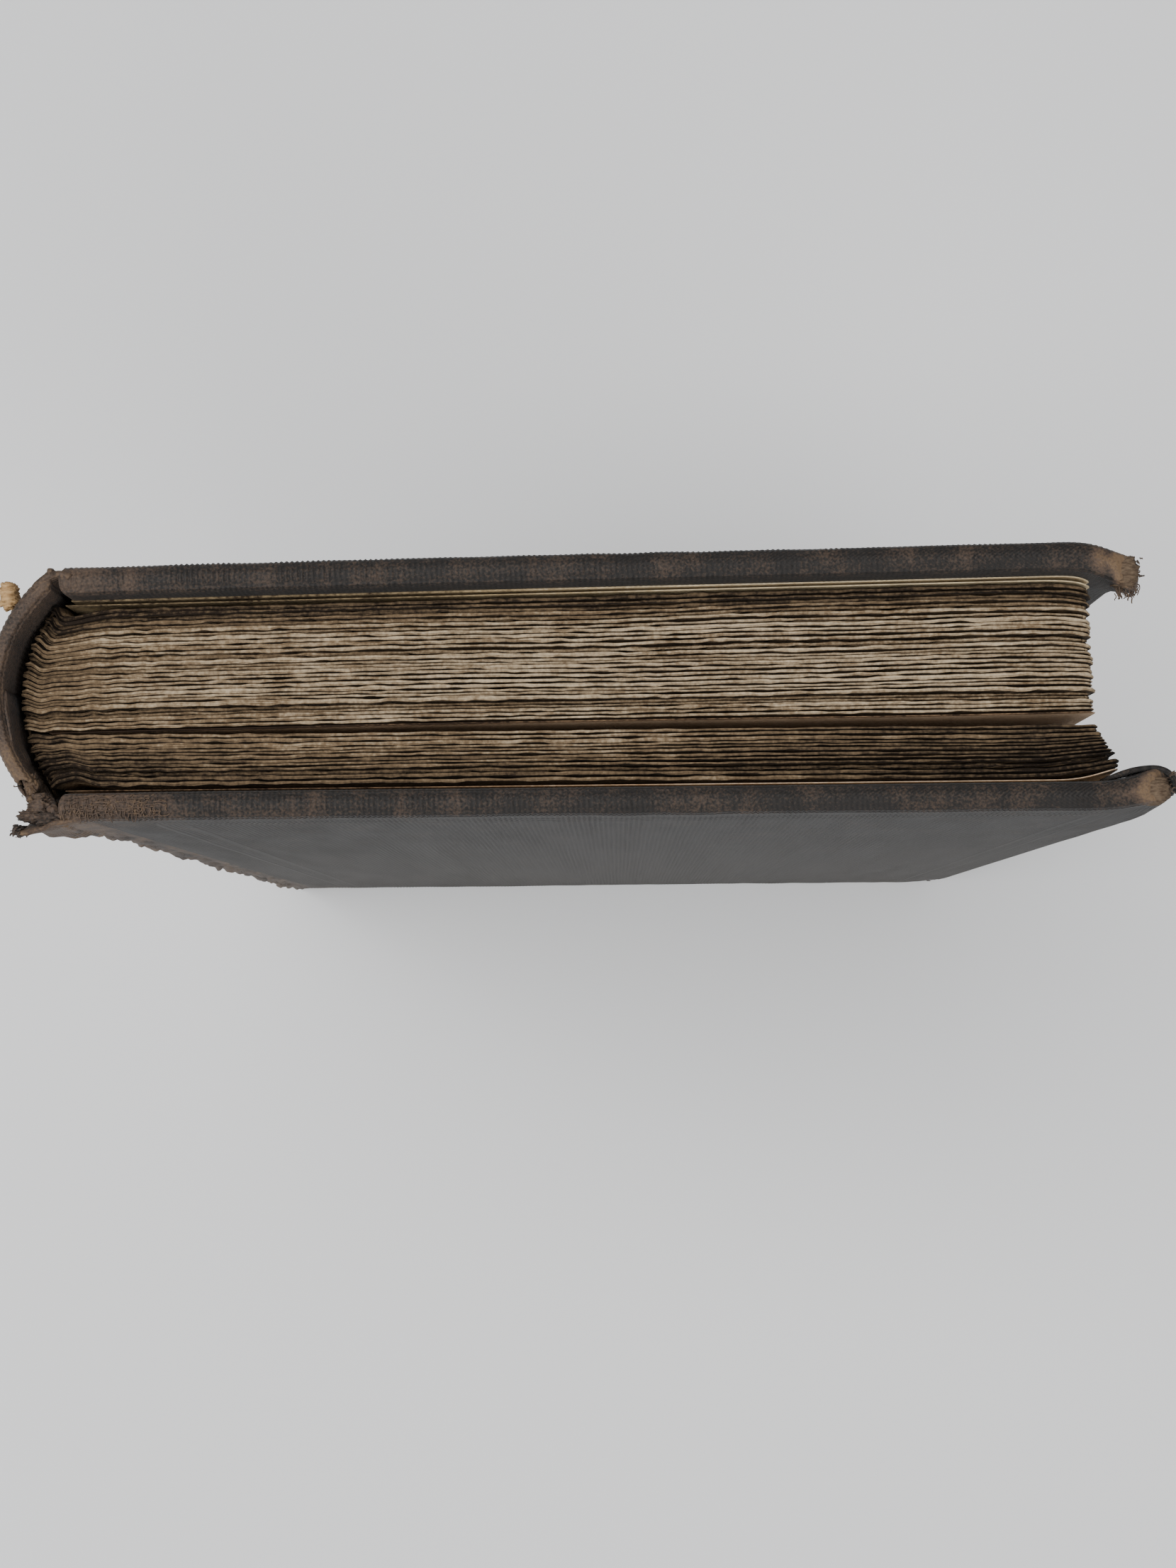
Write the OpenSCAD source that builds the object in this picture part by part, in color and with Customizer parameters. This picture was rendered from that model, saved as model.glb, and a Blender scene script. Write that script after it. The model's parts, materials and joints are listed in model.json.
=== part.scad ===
// A small cloth-bound prayer book, closed and standing upright on its tail edge.
// X runs from the spine to the fore edge, Y from the front cover to the back
// cover and Z from the tail to the head.
// Everything is drawn with the middle of the rounded folds at x = 0, y = 0, and
// placed() then moves the book so that its origin is the middle of its base.

/* [Leaves] */
// Height of the leaves
leaf_h = 132; // [90:1:190]
// Width of the leaves, from the fold to the fore edge
leaf_w = 89.5; // [60:0.5:130]
// Thickness of one folded section of leaves
section_t = 0.72; // [0.5:0.02:1.4]
// Room between neighbouring sections
section_gap = 0.02; // [0.01:0.01:0.1]
// Number of sections in front of the place where the book falls open
front_sections = 6; // [3:1:10]
// Number of sections behind that place
back_sections = 14; // [8:1:20]
// Depth of the rounding of the folds
round_depth = 2.6; // [1.5:0.1:4]
// How far the foremost section leans out past the others at the fore edge
front_lean = 1.8; // [0:0.1:3]
// Angle by which the front half of the book stands open
gap_angle = 0.8; // [0:0.1:3]
// Room at the folds between the two halves of the leaves
half_gap = 0.34; // [0.3:0.02:1]
// Thickness of the single leaf that turns in that room
leaf_t = 0.1; // [0.08:0.01:0.14]
// Distance from the folds to the inner edge of that leaf
leaf_inset = 1.2; // [0.8:0.1:3]

/* [Covers] */
// Thickness of the boards
board_t = 1.7; // [1:0.1:3]
// How far the covers stand out past the leaves at the head and the tail
head_square = 3; // [1:0.5:6]
// How far the covers stand out past the leaves at the fore edge
fore_square = 3.7; // [1:0.1:6]
// Radius of the corners of the covers
corner_r = 2.5; // [0.8:0.1:6]
// Thickness of the book cloth
cloth_t = 0.35; // [0.3:0.05:0.6]
// Width of the cloth turned in over the edges of the boards
turn_in = 12; // [7:1:16]
// Thickness of the endpapers
endpaper_t = 0.12; // [0.08:0.02:0.2]
// Room between the cover, the flyleaf and the leaves
cover_gap = 0.2; // [0.15:0.05:0.5]
// Width of the joint between the shoulder of the leaves and the board
joint_w = 0.9; // [0.8:0.1:4]

/* [Spine] */
// Thickness of the card strip inside the spine cloth
inlay_t = 0.5; // [0.3:0.1:1]
// Width of the card strip, measured straight across
inlay_w = 14; // [10:0.5:14.5]
// Depth of the hollow between the lining and the spine
hollow_depth = 0.9; // [0.7:0.1:3]
// Height of the cloth turned in at the head and the tail of the spine
spine_turn_in = 10; // [5:1:20]
// How far the torn edge of the spine cloth stops short of the front cover's face
torn_back = 2.2; // [1.8:0.1:4]

/* [Sewing and lining] */
// Thickness of the sewing tapes
tape_t = 0.25; // [0.15:0.05:0.4]
// Width of a sewing tape
tape_w = 6; // [3:0.5:10]
// Number of sewing tapes
tape_count = 3; // [2:1:4]
// Distance between neighbouring tapes
tape_pitch = 30; // [12:1:30]
// Length of the tape ends glued to the boards
slip_l = 12; // [6:1:16]
// Width of a row of kettle stitches
stitch_w = 0.8; // [0.4:0.1:1.5]
// Distance from the end of the leaves to the kettle stitches
stitch_inset = 7; // [4:0.5:9]
// Thickness of the mull, the open cloth glued over the folds
mull_t = 0.2; // [0.1:0.02:0.24]
// How far the mull stops short of the ends of the leaves
mull_inset = 10; // [9.5:0.5:16]
// Width of the mull flap glued to each board
flap_w = 18; // [17:1:26]
// Thickness of the paper lining over the mull
lining_t = 0.2; // [0.1:0.05:0.5]
// How far the lining stops short of the ends of the leaves
lining_inset = 1; // [0.5:0.5:4]

/* [Fits] */
// Room between pieces that are glued face to face
glue_gap = 0.02; // [0.01:0.01:0.05]
// Room round a hinge line, where the cloth bends
hinge_room = 0.55; // [0.5:0.05:0.7]

/* [Hidden] */
$fn = 144;
section_count = front_sections + back_sections;
section_pitch = section_t + section_gap;
fold_r = section_t / 2;

// Leaves: the folds touch a circle of radius round_r, centred at x = round_r.
block_t = section_count * section_pitch + half_gap;
half_t = block_t / 2;
round_r = (pow(half_t, 2) + pow(round_depth, 2)) / (2 * round_depth);
open_y = half_t - back_sections * section_pitch - half_gap / 2;

// Layers glued over the folds, counted outwards from round_r.
tape_0 = glue_gap;
mull_0 = tape_0 + tape_t + glue_gap;
lining_0 = mull_0 + mull_t + glue_gap;
layers_t = lining_0 + lining_t;

// The line about which the front half of the book opens.
open_x = round_r - sqrt(pow(round_r + layers_t, 2) - pow(open_y, 2));

// Back cover, from the leaves outwards; the front cover mirrors it.
cover_h = leaf_h + 2 * head_square;
fly_y = half_t + cover_gap + endpaper_t / 2;
paste_y = half_t + 2 * cover_gap + endpaper_t;
turn_y = paste_y + endpaper_t + glue_gap;
board_y = turn_y + cloth_t + glue_gap;
outer_y = board_y + board_t + glue_gap + cloth_t;
board_x = round_depth + joint_w;
hinge_x = round_depth;
hinge_y = outer_y - cloth_t / 2;
back_edge_x = leaf_w + fore_square;
front_edge_x = leaf_w + front_lean + fore_square;
wrap = cloth_t + glue_gap;
window = turn_in + glue_gap;
slip_y = board_y - glue_gap;
tray_y = slip_y - mull_t - glue_gap;

// Spine, an arc that meets the faces of both covers at the hinge lines.
spine_t = 2 * cloth_t + inlay_t + 2 * glue_gap;
spine_x = -(layers_t + hollow_depth + spine_t);
spine_sag = hinge_x - spine_x;
spine_r = (pow(outer_y, 2) + pow(spine_sag, 2)) / (2 * spine_sag);
inlay_r = spine_r - cloth_t - glue_gap;
turned_r = inlay_r - inlay_t - glue_gap;

// Where things lie along the height.
leaf_z = head_square;
mull_z = max(leaf_z + mull_inset, window + glue_gap);
mid_z = cover_h / 2;
stitch_z = leaf_z + stitch_inset;
fly_x = hinge_x + 0.4;

// The middle of the book's base.
reach_x = front_edge_x - open_x;
front_x1 = open_x + reach_x * cos(gap_angle) - (turn_y + open_y) * sin(gap_angle);
front_y1 = open_y - reach_x * sin(gap_angle) - (outer_y + open_y) * cos(gap_angle);
base_x = (spine_x + max(front_x1, back_edge_x)) / 2;
base_y = (outer_y + front_y1) / 2;

leaf_colour = "#b3a88f";
end_colour = "#d6ccb0";
board_colour = "#8b6f4a";
cloth_colour = "#3c3d41";
mull_colour = "#a08c68";
lining_colour = "#7c6a50";
thread_colour = "#d8cfb8";

function section_name(k) = str("section_", k < 10 ? "0" : "", k);

// Moves the finished book onto its origin.
module placed() {
    translate([-base_x, -base_y, 0]) children();
}

// Swings the front half of the book open by the rest angle.
module front_half() {
    placed() translate([open_x, open_y, 0]) rotate([0, 0, -gap_angle])
        translate([-open_x, -open_y, 0]) children();
}

// Draws a piece of the back cover's pattern as its mirror image on the front.
module front_cover() {
    front_half() mirror([0, 1, 0]) children();
}

// A plate of its children's outline in X and Z, from y0 out to y1.
module plate(y0, y1) {
    translate([0, y1, 0]) rotate([90, 0, 0]) linear_extrude(y1 - y0) children();
}

// A flat rectangle from x0 to x1 and z0 to z1.
module area(x0, x1, z0, z1) {
    translate([x0, z0]) square([x1 - x0, z1 - z0]);
}

// The same rectangle with its two fore-edge corners rounded.
module rounded_area(x0, x1, z0, z1, r) {
    area(x0, x1 - r, z0, z1);
    area(x0, x1, z0 + r, z1 - r);
    for (z = [z0 + r, z1 - r]) translate([x1 - r, z]) circle(r);
}

// The y of a section's middle, counting from the front cover.
function section_y(k) = k <= front_sections
    ? open_y - half_gap / 2 - (front_sections - k + 0.5) * section_pitch
    : open_y + half_gap / 2 + (k - front_sections - 0.5) * section_pitch;

// How far a section leans out at the fore edge.
function lean(k) = front_lean * max(0, front_sections + 1 - k) / front_sections;

// One section: eight leaves folded together, with a round fold at the spine.
module section(k) {
    y = section_y(k);
    x = round_r - sqrt(pow(round_r - fold_r, 2) - pow(y, 2));
    color(leaf_colour) translate([0, 0, leaf_z]) linear_extrude(leaf_h) {
        translate([x, y]) circle(fold_r);
        translate([x, y - fold_r]) square([leaf_w + lean(k) - x, section_t]);
    }
}

module placed_section(k) {
    if (k > front_sections) placed() section(k);
    else front_half() section(k);
}

// The first leaf behind the gap, which turns by itself when the book is opened.
module turning_leaf() {
    color(leaf_colour) placed() plate(open_y - leaf_t / 2, open_y + leaf_t / 2)
        area(leaf_inset, leaf_w, leaf_z, leaf_z + leaf_h);
}

// A free endpaper beside the leaves.
module flyleaf(width) {
    color(end_colour) plate(fly_y - endpaper_t / 2, fly_y + endpaper_t / 2)
        area(fly_x, width, leaf_z, leaf_z + leaf_h);
}
module front_flyleaf() { front_cover() flyleaf(leaf_w + front_lean); }
module back_flyleaf() { placed() flyleaf(leaf_w); }

// An endpaper glued to the board, pressed down between the turned-in cloth.
module pastedown(edge_x) {
    inner_x = edge_x - window - glue_gap;
    color(end_colour) difference() {
        union() {
            plate(paste_y, paste_y + endpaper_t)
                area(board_x, edge_x - fore_square, leaf_z, leaf_z + leaf_h);
            plate(paste_y, tray_y)
                area(board_x, inner_x, window + glue_gap, cover_h - window - glue_gap);
        }
        plate(paste_y - 1, tray_y - endpaper_t)
            area(board_x - 1, inner_x - endpaper_t,
                 window + glue_gap + endpaper_t, cover_h - window - glue_gap - endpaper_t);
    }
}
module front_pastedown() { front_cover() pastedown(front_edge_x); }
module back_pastedown() { placed() pastedown(back_edge_x); }

// A board, the stiff sheet inside a cover.
module board(edge_x) {
    color(board_colour) plate(board_y, board_y + board_t)
        rounded_area(board_x, edge_x - wrap, wrap, cover_h - wrap, max(0.2, corner_r - wrap));
}
module front_board() { front_cover() board(front_edge_x); }
module back_board() { placed() board(back_edge_x); }

// Book cloth round a board, turned in over the head, the tail and the fore edge.
module cover_cloth(edge_x) {
    color(cloth_colour) difference() {
        plate(turn_y, outer_y)
            rounded_area(hinge_x + hinge_room, edge_x, 0, cover_h, corner_r);
        plate(board_y - glue_gap, outer_y - cloth_t)
            rounded_area(0, edge_x - cloth_t, cloth_t, cover_h - cloth_t,
                         max(0.2, corner_r - cloth_t));
        plate(0, outer_y - cloth_t)
            area(0, edge_x - turn_in, turn_in, cover_h - turn_in);
    }
}
module front_cloth() { front_cover() cover_cloth(front_edge_x); }
module back_cloth() { placed() cover_cloth(back_edge_x); }

// A flat ring sector concentric with the spine, between y0 and y1.
module spine_arc(r_in, r_out, y0, y1) {
    intersection() {
        translate([spine_x + spine_r, 0]) difference() {
            circle(r_out);
            circle(r_in);
        }
        translate([spine_x - 1, y0]) square([hinge_x - hinge_room - spine_x + 1, y1 - y0]);
    }
}

// Spine cloth, from the back hinge line to its torn front edge, turned in over
// the card strip at the head and the tail.
module spine_cloth() {
    inner_w = inlay_w / 2 + glue_gap;
    color(cloth_colour) placed() difference() {
        union() {
            linear_extrude(cover_h)
                spine_arc(spine_r - cloth_t, spine_r, torn_back - outer_y, outer_y);
            linear_extrude(cover_h)
                spine_arc(turned_r - cloth_t, spine_r, -inner_w, inner_w);
        }
        translate([0, 0, cloth_t]) linear_extrude(cover_h - 2 * cloth_t)
            spine_arc(turned_r, spine_r - cloth_t, -outer_y, outer_y);
        translate([0, 0, spine_turn_in]) linear_extrude(cover_h - 2 * spine_turn_in)
            spine_arc(turned_r - cloth_t - 1, spine_r - cloth_t, -outer_y, outer_y);
    }
}

// The card strip that stiffens the spine cloth.
module spine_inlay() {
    color(board_colour) placed() translate([0, 0, wrap]) linear_extrude(cover_h - 2 * wrap)
        spine_arc(inlay_r - inlay_t, inlay_r, -inlay_w / 2, inlay_w / 2);
}

// A band glued over the folds, from distance d0 to d1 outside them, on one half:
// the back half with side = 1 and the front half with side = -1.
module fold_band(side, d0, d1, z0, z1) {
    y0 = side > 0 ? open_y + glue_gap : -half_t;
    y1 = side > 0 ? half_t : open_y - glue_gap;
    translate([0, 0, z0]) linear_extrude(z1 - z0) intersection() {
        translate([round_r, 0]) difference() {
            circle(round_r + d1);
            circle(round_r + d0);
        }
        translate([open_x - 2, y0]) square([round_depth - open_x + 2, y1 - y0]);
    }
}

module mull(side) {
    color(mull_colour) fold_band(side, mull_0, mull_0 + mull_t, mull_z, cover_h - mull_z);
}
module front_mull() { front_half() mull(-1); }
module back_mull() { placed() mull(1); }

module spine_lining(side) {
    z = leaf_z + lining_inset;
    color(lining_colour) fold_band(side, lining_0, lining_0 + lining_t, z, cover_h - z);
}
module front_spine_lining() { front_half() spine_lining(-1); }
module back_spine_lining() { placed() spine_lining(1); }

function tape_z(i) = mid_z + (i - (tape_count - 1) / 2) * tape_pitch;

// The tapes that the sections are sewn to.
module tapes(side) {
    color(thread_colour) for (i = [0:tape_count - 1])
        fold_band(side, tape_0, tape_0 + tape_t, tape_z(i) - tape_w / 2, tape_z(i) + tape_w / 2);
}
module front_tapes() { front_half() tapes(-1); }
module back_tapes() { placed() tapes(1); }

// The rows of thread that link section to section near the head and the tail.
module kettle_stitches(side) {
    color(thread_colour) for (z = [stitch_z, cover_h - stitch_z])
        fold_band(side, tape_0, tape_0 + tape_t, z - stitch_w / 2, z + stitch_w / 2);
}
module front_kettle_stitches() { front_half() kettle_stitches(-1); }
module back_kettle_stitches() { placed() kettle_stitches(1); }

// The ends of the tapes, frayed flat and glued to the board.
module tape_ends() {
    color(thread_colour) plate(slip_y - mull_t, slip_y) for (i = [0:tape_count - 1])
        area(board_x, board_x + slip_l, tape_z(i) - tape_w / 2, tape_z(i) + tape_w / 2);
}
module front_tape_ends() { front_cover() tape_ends(); }
module back_tape_ends() { placed() tape_ends(); }

// The flap of the mull on the board, with a slot for each tape end.
module mull_flap() {
    color(mull_colour) plate(slip_y - mull_t, slip_y) difference() {
        area(board_x, board_x + flap_w, mull_z, cover_h - mull_z);
        for (i = [0:tape_count - 1])
            area(board_x - 1, board_x + slip_l + glue_gap,
                 tape_z(i) - tape_w / 2 - glue_gap, tape_z(i) + tape_w / 2 + glue_gap);
    }
}
module front_mull_flap() { front_cover() mull_flap(); }
module back_mull_flap() { placed() mull_flap(); }

for (k = [1:section_count])
    placed_section(k);
turning_leaf();
front_flyleaf();
back_flyleaf();
front_pastedown();
back_pastedown();
front_board();
back_board();
front_cloth();
back_cloth();
spine_cloth();
spine_inlay();
front_mull();
back_mull();
front_mull_flap();
back_mull_flap();
front_spine_lining();
back_spine_lining();
front_tapes();
back_tapes();
front_tape_ends();
back_tape_ends();
front_kettle_stitches();
back_kettle_stitches();
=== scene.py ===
import json
import math

import bmesh
import bpy
import numpy as np
from mathutils import Matrix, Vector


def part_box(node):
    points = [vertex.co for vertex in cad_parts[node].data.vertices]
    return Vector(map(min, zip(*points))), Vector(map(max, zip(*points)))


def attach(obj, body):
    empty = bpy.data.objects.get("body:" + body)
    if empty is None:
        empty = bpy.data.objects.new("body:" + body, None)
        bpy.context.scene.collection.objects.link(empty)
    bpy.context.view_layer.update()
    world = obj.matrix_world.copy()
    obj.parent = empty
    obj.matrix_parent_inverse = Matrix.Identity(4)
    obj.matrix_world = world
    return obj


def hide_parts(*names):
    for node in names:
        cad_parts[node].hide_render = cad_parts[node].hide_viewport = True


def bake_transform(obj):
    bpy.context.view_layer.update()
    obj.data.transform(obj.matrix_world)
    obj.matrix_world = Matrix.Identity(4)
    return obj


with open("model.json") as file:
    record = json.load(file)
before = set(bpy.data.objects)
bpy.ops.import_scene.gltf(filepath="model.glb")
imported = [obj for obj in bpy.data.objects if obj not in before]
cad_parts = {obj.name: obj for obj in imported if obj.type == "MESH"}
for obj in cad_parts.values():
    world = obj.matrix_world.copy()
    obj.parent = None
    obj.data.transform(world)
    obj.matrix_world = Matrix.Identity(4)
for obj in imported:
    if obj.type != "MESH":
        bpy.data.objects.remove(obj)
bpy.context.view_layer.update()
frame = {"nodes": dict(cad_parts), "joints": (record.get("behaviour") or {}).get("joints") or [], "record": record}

# ---------------------------------------------------------------- the book's measures, in mm


def box_mm(node):
    """Lowest and highest corner of a CAD node, in mm."""
    low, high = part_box(node)
    return np.array(low) * 1000, np.array(high) * 1000


joints = {j["name"]: j for j in frame["joints"]}
mounts = {m["name"]: m for m in frame["record"]["mounts"]}


def axis_mm(joint):
    """X and Y of an upright hinge line, in mm."""
    return np.array(joints[joint]["pos_m"][:2]) * 1000


bodies = frame["record"]["behaviour"]["bodies"]
FRONT_SECTIONS, BACK_SECTIONS = (sorted(n for n in bodies[body] if n.startswith("section"))
                                 for body in ("front_block", "back_block"))
CLOTH_LO, CLOTH_HI = box_mm("back_cloth")
BOARD_LO, BOARD_HI = box_mm("back_board")
PASTE_LO, PASTE_HI = box_mm("back_pastedown")
FLY_LO, FLY_HI = box_mm("back_flyleaf")
INLAY_LO, INLAY_HI = box_mm("spine_inlay")
SPINE_LO = box_mm("spine_cloth")[0]
LEAF_LO, LEAF_HI = box_mm("turning_leaf")
OPEN, HINGE = axis_mm("block_opening"), axis_mm("back_cover_hinge")
normal = mounts["front_cover_face"]["axis"]
GAP = math.atan2(-normal[0], -normal[1])
MID_Y = (INLAY_LO[1] + INLAY_HI[1]) / 2
HEAD = CLOTH_HI[2]
CLOTH_T = CLOTH_HI[1] - BOARD_HI[1]

# The front boards reach further than the back ones by this much.
LEAN = (box_mm("front_cloth")[1][0] - OPEN[0]
        - (2 * MID_Y - CLOTH_LO[1] - OPEN[1]) * math.sin(GAP)) / math.cos(GAP) + OPEN[0] - CLOTH_HI[0]

# The folds lie on an arc through the middle fold and both shoulders.
FOLD_X = min(box_mm(n)[0][0] for n in BACK_SECTIONS)
BLOCK_HALF = box_mm(BACK_SECTIONS[-1])[1][1] - MID_Y
ROUND_DEPTH = HINGE[0] - FOLD_X
ROUND_R = (BLOCK_HALF ** 2 + ROUND_DEPTH ** 2) / (2 * ROUND_DEPTH)

# The spine cloth is an arc from the back hinge line, round the middle of the spine.
SPINE_HALF = CLOTH_HI[1] - MID_Y
SAG = HINGE[0] - SPINE_LO[0]
SPINE_R = (SPINE_HALF ** 2 + SAG ** 2) / (2 * SAG)
SPINE_CX = SPINE_LO[0] + SPINE_R

# ---------------------------------------------------------------- placing and building meshes


def closed(x, y, z):
    """The back half of the book, which lies square to the axes."""
    return x, y, z


def swung(x, y, z):
    """The front half: turned by the rest angle about the line where the book falls open."""
    dx, dy = x - OPEN[0], y - OPEN[1]
    c, s = math.cos(GAP), math.sin(GAP)
    return OPEN[0] + dx * c + dy * s, OPEN[1] - dx * s + dy * c, z


def mirrored(x, y, z):
    """The front cover: the back cover's shape, mirrored and then swung."""
    return swung(x, 2 * MID_Y - y, z)


def grid_faces(rows, cols, wrap_rows=False, wrap_cols=False):
    """Quads joining a grid of rows by cols points; wrapping joins its last line to its first."""
    r = np.arange(rows - 1 + wrap_rows)[:, None]
    c = np.arange(cols - 1 + wrap_cols)[None, :]
    below, right = (r + 1) % rows, (c + 1) % cols
    quads = np.stack([r * cols + c, r * cols + right, below * cols + right, below * cols + c], -1)
    return quads.reshape(-1, 4)


def border(index):
    """The numbers round the border of a grid, in order."""
    return np.concatenate([index[0, :-1], index[:-1, -1], index[-1, :0:-1], index[:0:-1, 0]])


def outward(points, faces):
    """The faces of a closed grid turned to look outwards, from the sign of its volume."""
    a, b, c, d = (points[faces[:, i]] for i in range(4))
    middle = points.mean(0)
    volume = sum((np.cross(p - middle, q - middle) * (r - middle)).sum()
                 for p, q, r in ((a, b, c), (a, c, d)))
    return faces if volume > 0 else faces[:, ::-1]


def solid(x, y, z, faces, place=closed, **marks):
    """One closed shell: points in mm, its quads and a value per point for each mark."""
    points = np.stack([np.asarray(v, float).ravel() for v in place(x, y, z)], 1) * 0.001
    marks = {k: np.broadcast_to(v, np.shape(x)).ravel() for k, v in marks.items()}
    return points, outward(points, faces), marks


def piece(name, shells, body, material, replaces=(), merge=2e-7):
    """Joins closed shells into one object that rides on a body; merge closes poles and
    seams."""
    points = np.concatenate([s[0] for s in shells])
    starts = np.cumsum([0] + [len(s[0]) for s in shells])
    faces = np.concatenate([s[1] + start for s, start in zip(shells, starts)])
    mesh = bpy.data.meshes.new(name)
    mesh.from_pydata(points, [], faces)
    for key in {k for s in shells for k in s[2]}:
        values = np.concatenate([s[2].get(key, np.zeros(len(s[0]))) for s in shells])
        mesh.attributes.new(key, "FLOAT", "POINT").data.foreach_set("value", values.astype(np.float32))
    tidy = bmesh.new()
    tidy.from_mesh(mesh)
    bmesh.ops.remove_doubles(tidy, verts=tidy.verts, dist=merge)
    bmesh.ops.dissolve_degenerate(tidy, edges=tidy.edges, dist=merge)
    tidy.to_mesh(mesh)
    tidy.free()
    mesh.polygons.foreach_set("use_smooth", [True] * len(mesh.polygons))
    mesh.materials.append(material)
    obj = bpy.data.objects.new(name, mesh)
    bpy.context.collection.objects.link(obj)
    if body:
        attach(obj, body)
    if replaces:
        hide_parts(*replaces)
    return obj


LATTICE = np.random.default_rng(7).random((64, 64))


def drift(u, v, wave_u, wave_v, seed=0):
    """Smooth noise from -1 to 1 over u and v: random heights on a lattice with that spacing,
    joined by smoothsteps. The seed shifts the lattice."""
    p, q = u / wave_u + seed * 7.31, v / wave_v + seed * 3.77
    i, j = np.floor(p).astype(int), np.floor(q).astype(int)
    s, t = p - i, q - j
    s, t = s * s * (3 - 2 * s), t * t * (3 - 2 * t)
    a, b = LATTICE[i % 64, j % 64], LATTICE[(i + 1) % 64, j % 64]
    c, d = LATTICE[i % 64, (j + 1) % 64], LATTICE[(i + 1) % 64, (j + 1) % 64]
    return 2 * ((a + (b - a) * s) * (1 - t) + (c + (d - c) * s) * t) - 1


def smooth(value, start, end):
    """0 at start, 1 at end and a smoothstep between."""
    t = np.clip((value - start) / (end - start), 0, 1)
    return t * t * (3 - 2 * t)


# ---------------------------------------------------------------- materials


def srgb(text):
    """A colour written as sRGB hex, made linear."""
    c = np.array([int(text[i:i + 2], 16) for i in (1, 3, 5)]) / 255
    c = np.where(c <= 0.04045, c / 12.92, ((c + 0.055) / 1.055) ** 2.4)
    return [*c, 1.0]


def add(tree, kind, inputs=None, out=0, **settings):
    """Adds a shader node and hands back one of its outputs. inputs gives a value, a hex colour or
    the output that feeds it, for each socket."""
    node = tree.nodes.new("ShaderNode" + kind)
    for key, value in settings.items():
        setattr(node, key, value)
    for key, value in (inputs or {}).items():
        if isinstance(value, bpy.types.NodeSocket):
            tree.links.new(value, node.inputs[key])
        else:
            node.inputs[key].default_value = srgb(value) if isinstance(value, str) else value
    return node.outputs[out]


def start_material(name, roughness, sheen=0.0, specular=0.5):
    """A material with its tree, its main shader and its object coordinates in mm."""
    mat = bpy.data.materials.new(name)
    mat.use_nodes = True
    tree = mat.node_tree
    shader = tree.nodes["Principled BSDF"]
    shader.inputs["Roughness"].default_value = roughness
    shader.inputs["Sheen Weight"].default_value = sheen
    shader.inputs["Specular IOR Level"].default_value = specular
    place = add(tree, "TexCoord", out="Object")
    mm = add(tree, "VectorMath", {0: place, 1: (1000, 1000, 1000)}, operation="MULTIPLY")
    return mat, tree, shader, mm


def finish_material(tree, shader, colour, height, depth_mm):
    """Gives the shader its colour, and a relief of that depth."""
    tree.links.new(colour, shader.inputs["Base Color"])
    relief = add(tree, "Bump", {"Height": height, "Distance": depth_mm * 0.001, "Strength": 1.0})
    tree.links.new(relief, shader.inputs["Normal"])


def speckle(tree, mm, amount, *specks):
    """Noise added to an amount. A speck is its size in mm, its detail, how far from its middle
    the noise is used, and the most that it adds."""
    for size, detail, reach, most in specks:
        noise = add(tree, "TexNoise", {"Vector": mm, "Scale": 1 / size, "Detail": detail})
        part = add(tree, "MapRange", {0: noise, 1: 0.5 - reach, 2: 0.5 + reach, 3: -most, 4: most})
        amount = add(tree, "Math", {0: amount, 1: part}, operation="ADD")
    return amount


def stain(tree, colour, *layers):
    """Colours laid over a colour. A layer is its colour, the amount that it follows, the values
    of that amount at which it starts and is full, and how much it then hides."""
    for over, amount, start, full, most in layers:
        share = add(tree, "MapRange", {0: amount, 1: start, 2: full, 3: 0.0, 4: most})
        colour = add(tree, "Mix", {0: share, 6: colour, 7: over}, out=2, data_type="RGBA")
    return colour


def rag_paper(name, clean, soiled, deep):
    """Old rag paper, cut and handled: matt, browned and dirty with dust at the edges, paler inside.
    The mark that it follows also carries painted shade in cracks, grooves and hollows. Its
    fibres, like those of the cloth's nap and the board, are drawn several times their real
    width, or they wouldn't show."""
    mat, tree, shader, mm = start_material(name, 0.92, specular=0.25)
    # The mark holds dust, and also painted shade in cracks, grooves and hollows.
    soil = add(tree, "Attribute", out="Fac", attribute_name="soil")
    soil = speckle(tree, mm, soil, (0.35, 3.0, 0.2, 0.16), (4.0, 3.0, 0.2, 0.10))
    colour = stain(tree, clean, (soiled, soil, 0.0, 0.5, 1.0), (deep, soil, 0.5, 1.0, 1.0))
    fibre = add(tree, "TexNoise", {"Vector": mm, "Scale": 1 / 0.3, "Detail": 5.0})
    finish_material(tree, shader, colour, fibre, 0.09)
    return mat


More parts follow.
